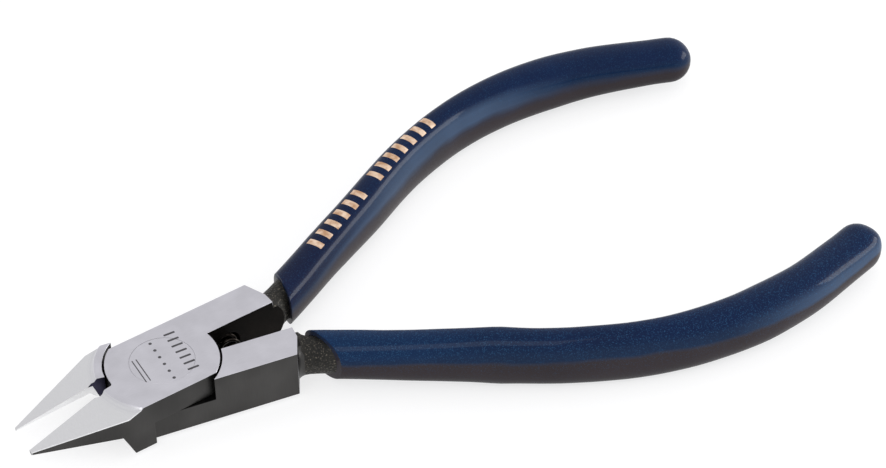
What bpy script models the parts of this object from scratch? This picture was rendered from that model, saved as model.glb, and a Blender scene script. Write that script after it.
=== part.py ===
"""Precision side-cutting nippers with a lap joint, a flush rivet, a coil return spring and dipped grips.

Units are metres and +Z is up. The pivot's axis is the world Z axis, the joint's lower face lies at z = 0,
the jaws point along -X and the handles along +X. Each half is drawn closed, in the frame of its own empty,
and the two empties turn the halves apart to the rest pose, in which the return spring is relaxed.
The upper half holds the upper lap, the jaw on -Y and the handle on +Y; the lower half is its counterpart.
"""

import math

import bmesh
import bpy
import numpy as np
from mathutils import Matrix, Vector

# Joint
JOINT_RADIUS = 0.0080
HEAD_THICKNESS = 0.0077
HEAD_HALF_WIDTH = 0.0064
LAP_CLEARANCE = 0.0001
SHOULDER_CLEARANCE = 0.0003
OPEN_HALF_ANGLE = math.radians(6.0)

# Head behind the joint, measured from the joint's edge
HEAD_BEHIND_JOINT = 0.0108
INNER_WALL = 0.00105
REAR_FACE_WIDTH = 0.00195
REAR_CORNER_SET_BACK = 0.0013

# Jaws: the first is measured from the pivot, the next five from the joint's edge
JAW_LENGTH = 0.02145
THROAT_LENGTH = 0.00285
LAND_WIDTH = 0.0014
TAPER_AHEAD = 0.00115
HEEL_TOP_AHEAD = 0.0021
HEEL_FOOT_AHEAD = 0.00065
HEEL_CEILING = 0.0033
TIP_WIDTH = 0.00062
TIP_TOP = 0.0030
TIP_THICKNESS = 0.00052
FACET_STEP = 0.00038
FACET_FALL = 0.12
LAND_RAMP = 0.7
BEVEL_ANGLE = math.radians(32.0)
EDGE_CLEARANCE = 0.000015
THROAT_DEPTH = 0.00040
THROAT_STEP = 0.00065
THROAT_AT_JOINT = 0.00012

# Rivet
RIVET_HEAD_RADIUS = 0.00453
RIVET_SHANK_RADIUS = 0.0033
RIVET_HEAD_DEPTH = 0.0014
RIVET_LIP = 0.0003
RIVET_CLEARANCE = 0.00006

# Return spring and its pockets
SPRING_BEHIND_JOINT = 0.0033
SPRING_RADIUS = 0.0015
SPRING_WIRE = 0.0005
SPRING_TURNS = 8
SPRING_CLOSED_PITCH = 0.00058
POCKET_DEPTH = 0.0026
POCKET_CLEARANCE = 0.00035
SPRING_END_CLEARANCE = 0.0001

# Handles
HANDLE_LENGTH = 0.0855
HANDLE_SPREAD = 0.0222
ROOT_MIDDLE = 0.00290
TANG_END_ROUND = 0.0022
TANG_END_GAP = 0.0001
GRIP_COAT = 0.00075
GRIP_FIT = 0.00005
GRIP_END_ROUND = 0.0036
MOUTH_BEHIND_HEAD = 0.00365
MOUTH_SLANT = 0.28

# The handle's sweep, as shares of its length behind the head and of its spread past the root's middle
SWEEP = (
    (-0.050, -0.085),
    (0.000, 0.000),
    (0.037, 0.063),
    (0.084, 0.156),
    (0.150, 0.295),
    (0.267, 0.526),
    (0.407, 0.808),
    (0.546, 0.978),
    (0.681, 1.000),
    (0.813, 0.891),
    (0.920, 0.708),
    (1.000, 0.552),
)
# The tang: distance along the sweep from the head's rear face, half width, half height
TANG_SECTIONS = (
    (-0.0020, 0.00350, 0.00285),
    (0.0000, 0.00355, 0.00300),
    (0.0002, 0.00305, 0.00295),
    (0.0005, 0.00264, 0.00290),
    (0.0009, 0.00236, 0.00285),
    (0.0016, 0.00224, 0.00280),
    (0.0050, 0.00222, 0.00275),
    (0.0124, 0.00212, 0.00295),
    (0.0280, 0.00203, 0.00366),
    (0.0480, 0.00183, 0.00392),
    (0.0675, 0.00278, 0.00342),
    (0.0840, 0.00266, 0.00258),
)
FILLET_END = TANG_SECTIONS[5][0]
SECTION_SQUARENESS = 2.4

MID = HEAD_THICKNESS / 2
HEAD_REAR = JOINT_RADIUS + HEAD_BEHIND_JOINT
SPRING_FROM_PIVOT = JOINT_RADIUS + SPRING_BEHIND_JOINT
LAND_RADIUS = JOINT_RADIUS + LAND_WIDTH
EDGE_ROOT = -(JOINT_RADIUS + THROAT_LENGTH)
OVERSHOOT = 0.002
REACH = 4 * JAW_LENGTH
TURN_STEPS = 64
SECTION_POINTS = 20
TANG_STATIONS = 24
ARC_STEP = math.radians(6.0)


def clear_scene():
    """Remove every object that the file starts with."""
    for obj in list(bpy.data.objects):
        bpy.data.objects.remove(obj, do_unlink=True)


def new_collection(name, hidden=False):
    """Link a new collection to the scene."""
    collection = bpy.data.collections.new(name)
    collection.hide_render = hidden
    bpy.context.scene.collection.children.link(collection)
    return collection


def new_frame(name, turn):
    """Make the empty on the pivot's axis that carries one half, turned from closed to the rest pose."""
    frame = bpy.data.objects.new(name, None)
    frame.rotation_euler = (0.0, 0.0, turn)
    bpy.context.scene.collection.objects.link(frame)
    return frame


def material(name, colour, metallic, roughness):
    """Make a Principled material."""
    mat = bpy.data.materials.new(name)
    mat.use_nodes = True
    shader = mat.node_tree.nodes["Principled BSDF"]
    shader.inputs["Base Color"].default_value = (*colour, 1.0)
    shader.inputs["Metallic"].default_value = metallic
    shader.inputs["Roughness"].default_value = roughness
    return mat


def add_object(name, mesh, collection, frame=None):
    """Put a mesh in the scene under its empty. A cutter shows as wire and stays out of the render."""
    obj = bpy.data.objects.new(name, mesh)
    collection.objects.link(obj)
    obj.parent = frame
    if collection.hide_render:
        obj.hide_render = True
        obj.display_type = "WIRE"
    return obj


def combine(obj, other, operation="DIFFERENCE"):
    """Cut other from obj, join it to obj, or keep what both hold."""
    boolean = obj.modifiers.new(other.name, "BOOLEAN")
    boolean.operation = operation
    boolean.object = other


def finish(bm, name):
    """Turn a closed bmesh's faces outwards and make it a mesh."""
    bmesh.ops.remove_doubles(bm, verts=bm.verts, dist=1e-7)
    bmesh.ops.recalc_face_normals(bm, faces=bm.faces)
    mesh = bpy.data.meshes.new(name)
    bm.to_mesh(mesh)
    bm.free()
    return mesh


def curve_to_mesh(curve):
    """Make a closed mesh of a curve with filled caps, and remove the curve."""
    holder = bpy.data.objects.new("curve_holder", curve)
    bpy.context.scene.collection.objects.link(holder)
    graph = bpy.context.evaluated_depsgraph_get()
    filled = bpy.data.meshes.new_from_object(holder.evaluated_get(graph))
    bpy.data.objects.remove(holder, do_unlink=True)
    bm = bmesh.new()
    bm.from_mesh(filled)
    bpy.data.meshes.remove(filled)
    return finish(bm, curve.name)


def poly_curve(name, points, cyclic):
    """Make a curve datablock of straight runs through the points."""
    curve = bpy.data.curves.new(name, "CURVE")
    spline = curve.splines.new("POLY")
    spline.points.add(len(points) - 1)
    for point, place in zip(spline.points, points):
        point.co = (*place, 1.0)
    spline.use_cyclic_u = cyclic
    return curve


def plate(name, outline, low, high):
    """Extrude a closed outline in the XY plane between two heights."""
    curve = poly_curve(name, [(x, y, 0.0) for x, y in outline], cyclic=True)
    curve.dimensions = "2D"
    curve.fill_mode = "BOTH"
    curve.extrude = (high - low) / 2
    mesh = curve_to_mesh(curve)
    mesh.transform(Matrix.Translation((0.0, 0.0, (low + high) / 2)))
    return mesh


def block(name, origin, along, across, size):
    """Make a box that stands on the face through origin, on the side of along x across."""
    x_axis = Vector(along).normalized()
    z_axis = x_axis.cross(Vector(across)).normalized()
    turn = Matrix((x_axis, z_axis.cross(x_axis), z_axis)).transposed().to_4x4()
    bm = bmesh.new()
    bmesh.ops.create_cube(bm, size=1.0)
    bmesh.ops.translate(bm, verts=bm.verts, vec=(0.0, 0.0, 0.5))
    bmesh.ops.scale(bm, verts=bm.verts, vec=size)
    bmesh.ops.transform(bm, verts=bm.verts, matrix=Matrix.Translation(origin) @ turn)
    return finish(bm, name)


def turned(name, profile, collection, frame):
    """Turn a profile of (radius, height) points, which runs down its outer side, round the Z axis."""
    mesh = bpy.data.meshes.new(name)
    edges = [(i, i + 1) for i in range(len(profile) - 1)]
    mesh.from_pydata([(radius, 0.0, height) for radius, height in profile], edges, [])
    obj = add_object(name, mesh, collection, frame)
    screw = obj.modifiers.new("turn", "SCREW")
    screw.steps = TURN_STEPS
    screw.render_steps = TURN_STEPS
    screw.use_merge_vertices = True
    screw.merge_threshold = 0.000001
    screw.use_smooth_shade = True
    return obj


def loft(name, rings):
    """Join rings of equal count with faces and cap both ends."""
    bm = bmesh.new()
    loops = [[bm.verts.new(point) for point in ring] for ring in rings]
    for near, far in zip(loops, loops[1:]):
        for i in range(len(near)):
            j = (i + 1) % len(near)
            bm.faces.new((near[i], near[j], far[j], far[i]))
    bm.faces.new(loops[0])
    bm.faces.new(loops[-1])
    return finish(bm, name)


def shade_smooth(obj):
    """Shade a mesh smooth except along its sharp edges."""
    obj.data.shade_smooth()
    obj.data.set_sharp_from_angle(angle=math.radians(35.0))


def arc(radius, start, end):
    """Points on an arc round the pivot, both ends included."""
    steps = max(1, math.ceil(abs(end - start) / ARC_STEP))
    return [(radius * math.cos(a), radius * math.sin(a)) for a in np.linspace(start, end, steps + 1)]


class Sweep:
    """The handle's middle line in a closed half's plan, measured along itself from the head's rear face."""

    def __init__(self, side):
        rise = HANDLE_SPREAD - ROOT_MIDDLE
        points = [(HEAD_REAR + HANDLE_LENGTH * x, side * (ROOT_MIDDLE + rise * y)) for x, y in SWEEP]
        points = np.array(points)
        padded = np.vstack([2 * points[0] - points[1], points, 2 * points[-1] - points[-2]])
        fine = []
        for before, start, end, after in zip(padded, padded[1:], padded[2:], padded[3:]):
            for t in np.linspace(0.0, 1.0, 24, endpoint=False):
                bend = 2 * before - 5 * start + 4 * end - after
                twist = 3 * start - before - 3 * end + after
                fine.append(start + 0.5 * t * (end - before + t * (bend + t * twist)))
        self.points = np.array([*fine, points[-1]])
        steps = np.linalg.norm(np.diff(self.points, axis=0), axis=1)
        self.run = np.concatenate([[0.0], np.cumsum(steps)])
        self.run -= np.interp(HEAD_REAR, self.points[:, 0], self.run)
        self.end = self.run[-1]

    def place(self, distance):
        """The point at a distance along the line."""
        return np.array([np.interp(distance, self.run, self.points[:, axis]) for axis in (0, 1)])

    def direction(self, distance):
        """The line's unit direction at a distance."""
        step = 0.0008
        ahead = self.place(min(distance + step, self.end)) - self.place(min(distance, self.end - step) - step)
        return ahead / np.linalg.norm(ahead)


def section_ring(sweep, distance, grow, shrink):
    """One rounded-rectangle section of the handle, square to its sweep."""
    x, y = sweep.place(distance)
    along_x, along_y = sweep.direction(distance)
    sizes = np.array(TANG_SECTIONS)
    sized_at = max(distance, FILLET_END) if grow else distance
    half_width, half_height = (np.interp(sized_at, sizes[:, 0], sizes[:, k]) + grow for k in (1, 2))
    ring = []
    for angle in np.arange(SECTION_POINTS) * 2 * math.pi / SECTION_POINTS:
        across, up = math.cos(angle), math.sin(angle)
        across = shrink * half_width * math.copysign(abs(across) ** (2 / SECTION_SQUARENESS), across)
        up = shrink * half_height * math.copysign(abs(up) ** (2 / SECTION_SQUARENESS), up)
        ring.append((x - along_y * across, y + along_x * across, MID + up))
    return ring


def handle_solid(name, side, start, end_gap, end_round, grow=0.0):
    """Loft the handle from start to a rounded end.

    A coat or its bore, grown all round, leaves out the tang's root fillet.
    """
    sweep = Sweep(side)
    stop = sweep.end - end_gap
    root = [] if grow else [row[0] for row in TANG_SECTIONS if start < row[0] <= FILLET_END]
    rest = np.linspace(2 * FILLET_END, stop - end_round, TANG_STATIONS)
    rings = [section_ring(sweep, distance, grow, 1.0) for distance in [start, *root, *rest]]
    for turn in np.radians((20, 38, 54, 68, 80)):
        distance = stop - end_round * (1 - math.sin(turn))
        rings.append(section_ring(sweep, distance, grow, math.cos(turn)))
    return loft(name, rings)


def head_outline(side):
    """The plan of one half's head and jaw, closed: jaw on -Y and rear block on +Y for side +1."""
    flat = math.asin(HEAD_HALF_WIDTH / JOINT_RADIUS)
    wall = math.asin(INNER_WALL / JOINT_RADIUS)
    joint_front = math.pi - math.asin(THROAT_AT_JOINT / JOINT_RADIUS)
    outline = [
        (-JAW_LENGTH, -EDGE_CLEARANCE),
        (EDGE_ROOT, -EDGE_CLEARANCE),
        (EDGE_ROOT + THROAT_STEP, -THROAT_DEPTH),
        (-JOINT_RADIUS - OVERSHOOT / 10, -THROAT_AT_JOINT),
        *arc(JOINT_RADIUS, joint_front, math.pi - flat),
        (HEAD_REAR - REAR_CORNER_SET_BACK, HEAD_HALF_WIDTH),
        (HEAD_REAR, INNER_WALL + REAR_FACE_WIDTH),
        (HEAD_REAR, INNER_WALL),
        *arc(JOINT_RADIUS, wall, -flat),
        (-JOINT_RADIUS - TAPER_AHEAD, -HEAD_HALF_WIDTH),
        (-JAW_LENGTH, -TIP_WIDTH),
    ]
    return [(x, side * y) for x, y in outline]


def facet_cutter(name, side, collection, frame):
    """What lies above the jaw's upper facet, clear of the round land in front of the joint."""
    rise = (HEAD_THICKNESS - FACET_STEP - TIP_TOP) / (JAW_LENGTH - LAND_RADIUS)
    mesh = block(name, (-JAW_LENGTH, 0.0, TIP_TOP), (1.0, 0.0, rise), (0.0, 1.0, side * FACET_FALL),
                 (REACH, REACH, JAW_LENGTH))
    cutter = add_object(name, mesh, collection, frame)
    land = turned(name + "_land", [
        (0.0, HEAD_THICKNESS + OVERSHOOT),
        (LAND_RADIUS - OVERSHOOT * LAND_RAMP, HEAD_THICKNESS + OVERSHOOT),
        (LAND_RADIUS + MID * LAND_RAMP, MID),
        (0.0, MID),
    ], collection, frame)
    behind = block(name + "_behind", (0.0, 0.0, HEAD_THICKNESS / 2), (0.0, 1.0, 0.0), (0.0, 0.0, 1.0),
                   (REACH, REACH, REACH))
    combine(cutter, land)
    combine(cutter, add_object(name + "_behind", behind, collection, frame))
    return cutter


def underside_cutter(name, collection, frame):
    """What lies under the jaw's blade and in front of its heel."""
    heel_top = -JOINT_RADIUS - HEEL_TOP_AHEAD
    heel_foot = -JOINT_RADIUS - HEEL_FOOT_AHEAD
    heel_run = (heel_foot - heel_top) / HEEL_CEILING
    tip_bottom = TIP_TOP - TIP_THICKNESS
    blade_rise = (HEEL_CEILING - tip_bottom) / (heel_top + JAW_LENGTH)
    outline = [
        (-JAW_LENGTH - OVERSHOOT, -OVERSHOOT),
        (heel_foot + heel_run * OVERSHOOT, -OVERSHOOT),
        (heel_top, HEEL_CEILING),
        (-JAW_LENGTH - OVERSHOOT, tip_bottom - blade_rise * OVERSHOOT),
    ]
    mesh = plate(name, outline, -REACH / 2, REACH / 2)
    mesh.transform(Matrix.Rotation(math.pi / 2, 4, "X"))
    return add_object(name, mesh, collection, frame)


def bevel_cutter(name, side, collection, frame):
    """What the bevel under the cutting edge takes from the jaw's inner side."""
    rise = (HEAD_THICKNESS - FACET_STEP - TIP_TOP) / (JAW_LENGTH - LAND_RADIUS)
    length = (JAW_LENGTH + EDGE_ROOT) * math.hypot(1.0, rise)
    middle = (EDGE_ROOT - JAW_LENGTH) / 2
    foot = (middle, -side * EDGE_CLEARANCE, TIP_TOP + rise * (middle + JAW_LENGTH))
    mesh = block(name, foot, (-side, 0.0, -side * rise),
                 (0.0, side * math.sin(BEVEL_ANGLE), math.cos(BEVEL_ANGLE)),
                 (length + 2 * THROAT_STEP, REACH, JAW_LENGTH))
    return add_object(name, mesh, collection, frame)


def lap_cutter(name, side, collection, frame):
    """The layer of one half's joint that the other half's lap turns in."""
    high = HEAD_THICKNESS + OVERSHOOT
    low = MID - LAP_CLEARANCE / 2
    profile = [(0.0, high), (1.0, high), (1.0, low), (0.0, low)]
    if side > 0:
        profile = [(r, HEAD_THICKNESS - z) for r, z in reversed(profile)]
    reach = JOINT_RADIUS + SHOULDER_CLEARANCE
    return turned(name, [(r * reach, z) for r, z in profile], collection, frame)


def rivet_profile(clearance, overshoot):
    """The rivet's half profile from its upper to its lower head, which lie flush with the joint's faces."""
    head = RIVET_HEAD_RADIUS + clearance
    shank = RIVET_SHANK_RADIUS + clearance
    top = HEAD_THICKNESS
    return [
        (0.0, top + overshoot),
        (head, top + overshoot),
        (head, top - RIVET_LIP),
        (shank, top - RIVET_HEAD_DEPTH),
        (shank, RIVET_HEAD_DEPTH),
        (head, RIVET_LIP),
        (head, -overshoot),
        (0.0, -overshoot),
    ]


def inner_wall_cutter(name, side, collection, frame):
    """What lies inside the flat inner wall, behind the joint: the wall runs on into the tang's side."""
    mesh = block(name, (HEAD_REAR, side * INNER_WALL, MID), (side, 0.0, 0.0), (0.0, 0.0, 1.0),
                 (HEAD_BEHIND_JOINT, REACH, HEAD_HALF_WIDTH))
    return add_object(name, mesh, collection, frame)


def pocket_cutter(name, side, collection, frame):
    """The blind round pocket that holds one end of the return spring."""
    bm = bmesh.new()
    bmesh.ops.create_cone(bm, cap_ends=True, segments=48, radius1=SPRING_RADIUS + POCKET_CLEARANCE,
                          radius2=SPRING_RADIUS + POCKET_CLEARANCE, depth=POCKET_DEPTH + OVERSHOOT)
    middle = side * (INNER_WALL + (POCKET_DEPTH - OVERSHOOT) / 2)
    place = Matrix.Translation((SPRING_FROM_PIVOT, middle, MID)) @ Matrix.Rotation(math.pi / 2, 4, "X")
    bmesh.ops.transform(bm, verts=bm.verts, matrix=place)
    return add_object(name, finish(bm, name), collection, frame)


def build_half(name, side, parts, cutters, frame, steel):
    """One forging: its jaw, its lap of the joint, its rear block and the tang of its handle."""
    half = add_object(name, plate(name, head_outline(side), 0.0, HEAD_THICKNESS), parts, frame)
    tang = handle_solid(name + "_tang", side, TANG_SECTIONS[0][0], GRIP_COAT + TANG_END_GAP, TANG_END_ROUND)
    tang = add_object(name + "_tang", tang, cutters, frame)
    shade_smooth(tang)
    combine(half, tang, "UNION")
    combine(half, inner_wall_cutter(name + "_inner_wall", side, cutters, frame))
    combine(half, lap_cutter(name + "_lap", side, cutters, frame))
    combine(half, turned(name + "_bore", rivet_profile(RIVET_CLEARANCE, OVERSHOOT), cutters, frame))
    combine(half, pocket_cutter(name + "_pocket", side, cutters, frame))
    combine(half, facet_cutter(name + "_facet", side, cutters, frame))
    combine(half, underside_cutter(name + "_underside", cutters, frame))
    combine(half, bevel_cutter(name + "_bevel", side, cutters, frame))
    half.data.materials.append(steel)
    return half


def build_grip(name, side, parts, cutters, frame, vinyl):
    """The dipped coat on one tang, with a slanted mouth behind the head."""
    sweep = Sweep(side)
    coat = handle_solid(name, side, TANG_SECTIONS[1][0], 0.0, GRIP_END_ROUND, GRIP_COAT)
    grip = add_object(name, coat, parts, frame)
    bore = handle_solid(name + "_bore", side, TANG_SECTIONS[0][0], GRIP_COAT + TANG_END_GAP - GRIP_FIT,
                        TANG_END_ROUND, GRIP_FIT)
    x, y = sweep.place(MOUTH_BEHIND_HEAD)
    mouth = block(name + "_mouth", (x, y, MID), (0.0, 0.0, 1.0), (side * MOUTH_SLANT, 1.0, 0.0),
                  (REACH, REACH, JAW_LENGTH))
    shade_smooth(grip)
    combine(grip, add_object(name + "_bore", bore, cutters, frame))
    combine(grip, add_object(name + "_mouth", mouth, cutters, frame))
    grip.data.materials.append(vinyl)
    return grip


def build_spring(name, parts, steel):
    """The coil spring between the two pockets, with one dead turn at each end, straight at rest."""
    turn = OPEN_HALF_ANGLE
    depth = INNER_WALL + POCKET_DEPTH
    floor = SPRING_FROM_PIVOT * math.sin(turn) + depth * math.cos(turn)
    reach = floor - SPRING_RADIUS * math.sin(turn) - SPRING_END_CLEARANCE - SPRING_WIRE / 2
    x = SPRING_FROM_PIVOT * math.cos(turn) - (depth - POCKET_DEPTH / 2) * math.sin(turn)
    knots = (0, 1, SPRING_TURNS - 1, SPRING_TURNS)
    heights = (-reach, SPRING_CLOSED_PITCH - reach, reach - SPRING_CLOSED_PITCH, reach)
    radius = SPRING_RADIUS - SPRING_WIRE / 2
    points = []
    for t in np.linspace(0, SPRING_TURNS, SPRING_TURNS * 24 + 1):
        angle = 2 * math.pi * t
        points.append((x + radius * math.cos(angle), np.interp(t, knots, heights), MID + radius * math.sin(angle)))
    curve = poly_curve(name, points, cyclic=False)
    curve.dimensions = "3D"
    curve.bevel_depth = SPRING_WIRE / 2
    curve.bevel_resolution = 2
    curve.use_fill_caps = True
    spring = add_object(name, curve_to_mesh(curve), parts)
    shade_smooth(spring)
    spring.data.materials.append(steel)
    return spring


def main():
    """Build the nippers at rest, open, with the pivot on the world Z axis."""
    clear_scene()
    parts = new_collection("side_cutting_nippers")
    cutters = new_collection("cutters", hidden=True)
    forged = material("forged_steel", (0.30, 0.29, 0.31), 1.0, 0.42)
    ground = material("ground_steel", (0.55, 0.54, 0.57), 1.0, 0.30)
    wire = material("spring_wire", (0.35, 0.34, 0.36), 1.0, 0.35)
    vinyl = material("blue_vinyl", (0.012, 0.035, 0.13), 0.0, 0.35)
    upper = new_frame("upper_frame", OPEN_HALF_ANGLE)
    lower = new_frame("lower_frame", -OPEN_HALF_ANGLE)
    build_half("upper_half", 1, parts, cutters, upper, forged)
    build_half("lower_half", -1, parts, cutters, lower, forged)
    build_grip("upper_grip", 1, parts, cutters, upper, vinyl)
    build_grip("lower_grip", -1, parts, cutters, lower, vinyl)
    rivet = turned("rivet", rivet_profile(0.0, 0.0), parts, upper)
    rivet.data.materials.append(ground)
    build_spring("return_spring", parts, wire)


main()
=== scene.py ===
"""Looks of the precision side-cutting nippers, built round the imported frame.

Everything is in metres in the frame's own axes: the pivot is the world Z axis, the joint's lower face is z = 0, the
jaws point along -X and the handles along +X. A half is described closed and turned open about the pivot to rest.
"""

import logging
import math
from collections.abc import Iterable, Sequence
from dataclasses import dataclass, field
from enum import Enum

import bmesh
import bpy
import numpy as np
from mathutils import Matrix, Vector, noise
from mathutils.bvhtree import BVHTree


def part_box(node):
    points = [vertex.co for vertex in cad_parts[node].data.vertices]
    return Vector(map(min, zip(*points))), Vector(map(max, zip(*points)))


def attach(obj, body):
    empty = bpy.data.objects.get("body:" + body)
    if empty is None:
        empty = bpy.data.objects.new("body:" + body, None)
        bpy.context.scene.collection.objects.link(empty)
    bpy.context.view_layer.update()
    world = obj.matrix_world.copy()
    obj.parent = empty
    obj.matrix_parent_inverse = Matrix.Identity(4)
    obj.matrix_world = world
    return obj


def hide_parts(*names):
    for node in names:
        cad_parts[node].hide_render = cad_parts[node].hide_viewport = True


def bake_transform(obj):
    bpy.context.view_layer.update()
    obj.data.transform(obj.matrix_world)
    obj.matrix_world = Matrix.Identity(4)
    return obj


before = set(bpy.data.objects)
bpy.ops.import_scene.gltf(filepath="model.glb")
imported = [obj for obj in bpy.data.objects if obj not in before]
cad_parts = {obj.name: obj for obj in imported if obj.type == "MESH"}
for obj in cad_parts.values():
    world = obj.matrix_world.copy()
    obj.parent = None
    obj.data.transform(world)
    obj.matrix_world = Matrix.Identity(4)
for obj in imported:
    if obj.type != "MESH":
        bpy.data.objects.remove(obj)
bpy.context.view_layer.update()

MM = 0.001
LOG = logging.getLogger("nippers")

HEAD_THICKNESS = 7.70 * MM
MID = HEAD_THICKNESS / 2
JOINT_RADIUS = 8.00 * MM
HEAD_REAR = 18.80 * MM
INNER_WALL = 1.05 * MM
OPEN_HALF_ANGLE = math.radians(6.0)
FLOOR_HEIGHT = -0.84 * MM

Colour = tuple[float, float, float]
Stops = Sequence[tuple[float, Colour]]


class Side(Enum):
    """The two halves: the upper one has its handle on +Y, the lower one on -Y."""

    UPPER = 1
    LOWER = -1

    @property
    def body(self) -> str:
        """The CAD body that this half's pieces ride on."""
        return self.name.lower()

    @property
    def opened(self) -> Matrix:
        """The turn from the closed plan to rest."""
        return Matrix.Rotation(self.value * OPEN_HALF_ANGLE, 4, "Z")


class Zone(Enum):
    """The areas of a forging, each in its own finish, some in painted shade, in the order of its material slots."""

    TOP = 0
    FACET = 1
    FLANK = 2
    INNER = 3
    SHELF = 4
    THROAT = 5
    TANG = 6
    UNDERSIDE = 7
    EDGE = 8


def grey(value: float) -> Colour:
    """A neutral colour of that linear value."""
    return (value, value, value)


class NodeSheet:
    """A Principled material under construction, with short ways to add and join its nodes."""

    def __init__(self, name: str) -> None:
        """Start the material.

        Args:
            name: the material's name.
        """
        self.material = bpy.data.materials.new(name)
        self.material.use_nodes = True
        self.tree = self.material.node_tree
        self.shader = self.tree.nodes["Principled BSDF"]
        source = self.tree.nodes.new("ShaderNodeTexCoord").outputs
        self.coordinates, self.normal = source["Object"], source["Normal"]

    def set(self, **sockets: object) -> None:
        """Set uniform values on the shader's own sockets.

        Args:
            sockets: socket names in lower case with underscores, and their values.
        """
        names = {socket.name.lower().replace(" ", "_"): socket for socket in self.shader.inputs}
        for name, value in sockets.items():
            names[name].default_value = (*value, 1.0) if isinstance(value, tuple) else value

    def join(self, output: bpy.types.NodeSocket, socket: str) -> None:
        """Feed an output to one of the shader's sockets.

        Args:
            output: the output socket.
            socket: the shader socket's name.
        """
        self.tree.links.new(output, self.shader.inputs[socket])

    def add(self, kind: str, inputs: dict[str | int, object], **settings: object) -> bpy.types.Node:
        """Add a node, set it up and feed its inputs.

        Args:
            kind: the node's type.
            inputs: values or output sockets, by input name or number.
            settings: the node's properties.

        Returns:
            The node.
        """
        node = self.tree.nodes.new(kind)
        for name, value in settings.items():
            setattr(node, name, value)
        for key, value in inputs.items():
            if isinstance(value, bpy.types.NodeSocket):
                self.tree.links.new(value, node.inputs[key])
            else:
                node.inputs[key].default_value = value
        return node

    def stretched(self, scale: Sequence[float], turn: float = 0.0) -> bpy.types.NodeSocket:
        """Object coordinates turned about Z and scaled per axis.

        Args:
            scale: the factors, in turns of the pattern per metre.
            turn: the turn about Z.

        Returns:
            The vector output.
        """
        inputs = {"Vector": self.coordinates, "Rotation": (0.0, 0.0, turn), "Scale": tuple(scale)}
        return self.add("ShaderNodeMapping", inputs).outputs["Vector"]

    def speckle(self, scale: float, detail: float = 3.0, vector: object = None) -> bpy.types.NodeSocket:
        """Smooth noise from 0 to 1.

        Args:
            scale: features per metre.
            detail: octaves.
            vector: the coordinates, or None for the object's own.

        Returns:
            The factor output.
        """
        inputs = {"Vector": vector or self.coordinates, "Scale": scale, "Detail": detail}
        return self.add("ShaderNodeTexNoise", inputs).outputs["Fac"]

    def ramp(self, factor: bpy.types.NodeSocket, stops: Stops) -> bpy.types.NodeSocket:
        """Colours along a factor.

        Args:
            factor: the factor.
            stops: (position, colour) pairs, in order.

        Returns:
            The colour output.
        """
        node = self.add("ShaderNodeValToRGB", {"Fac": factor})
        elements = node.color_ramp.elements
        while len(elements) < len(stops):
            elements.new(0.5)
        for element, (position, colour) in zip(elements, stops):
            element.position = position
            element.color = (*colour, 1.0)
        return node.outputs["Color"]

    def scaled(self, factor: bpy.types.NodeSocket, low: float, high: float, start: float = 0.0,
               end: float = 1.0) -> bpy.types.NodeSocket:
        """A factor mapped, with clamping, from one range to another.

        Args:
            factor: the factor.
            low: the result at start.
            high: the result at end.
            start: the factor's lower limit.
            end: the factor's upper limit.

        Returns:
            The result output.
        """
        inputs = {"Value": factor, 1: start, 2: end, 3: low, 4: high}
        return self.add("ShaderNodeMapRange", inputs).outputs["Result"]

    def blend(self, factor: object, first: object, second: object, mode: str = "MIX") -> bpy.types.NodeSocket:
        """Two colours mixed.

        Args:
            factor: the share of the second.
            first: a colour or output.
            second: a colour or output.
            mode: the mix's blend type.

        Returns:
            The colour output.
        """
        whole = [(*value, 1.0) if isinstance(value, tuple) else value for value in (first, second)]
        inputs = {0: factor, 6: whole[0], 7: whole[1]}
        return self.add("ShaderNodeMix", inputs, data_type="RGBA", blend_type=mode).outputs[2]

    def product(self, first: bpy.types.NodeSocket, second: bpy.types.NodeSocket) -> bpy.types.NodeSocket:
        """Two factors multiplied."""
        return self.add("ShaderNodeMath", {0: first, 1: second}, operation="MULTIPLY").outputs["Value"]

    def bump(self, height: bpy.types.NodeSocket, depth: float) -> bpy.types.NodeSocket:
        """A bump of that depth in metres.

        Args:
            height: the height factor.
            depth: the depth of a factor of one.

        Returns:
            The normal output.
        """
        inputs = {"Height": height, "Distance": depth, "Strength": 1.0}
        return self.add("ShaderNodeBump", inputs).outputs["Normal"]

    def radius(self) -> bpy.types.NodeSocket:
        """The distance from the pivot's axis, in metres."""
        flat = self.add("ShaderNodeVectorMath", {0: self.coordinates, 1: (1.0, 1.0, 0.0)}, operation="MULTIPLY")
        length = self.add("ShaderNodeVectorMath", {0: flat.outputs["Vector"]}, operation="LENGTH")
        return length.outputs["Value"]

    def alongside(self) -> bpy.types.NodeSocket:
        """The distance from the pivot's axis along X, in metres."""
        return self.add("ShaderNodeSeparateXYZ", {"Vector": self.coordinates}).outputs["X"]

    def upness(self) -> bpy.types.NodeSocket:
        """How far the smooth surface faces upwards, from -1 to 1."""
        return self.add("ShaderNodeSeparateXYZ", {"Vector": self.normal}).outputs["Z"]


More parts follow.
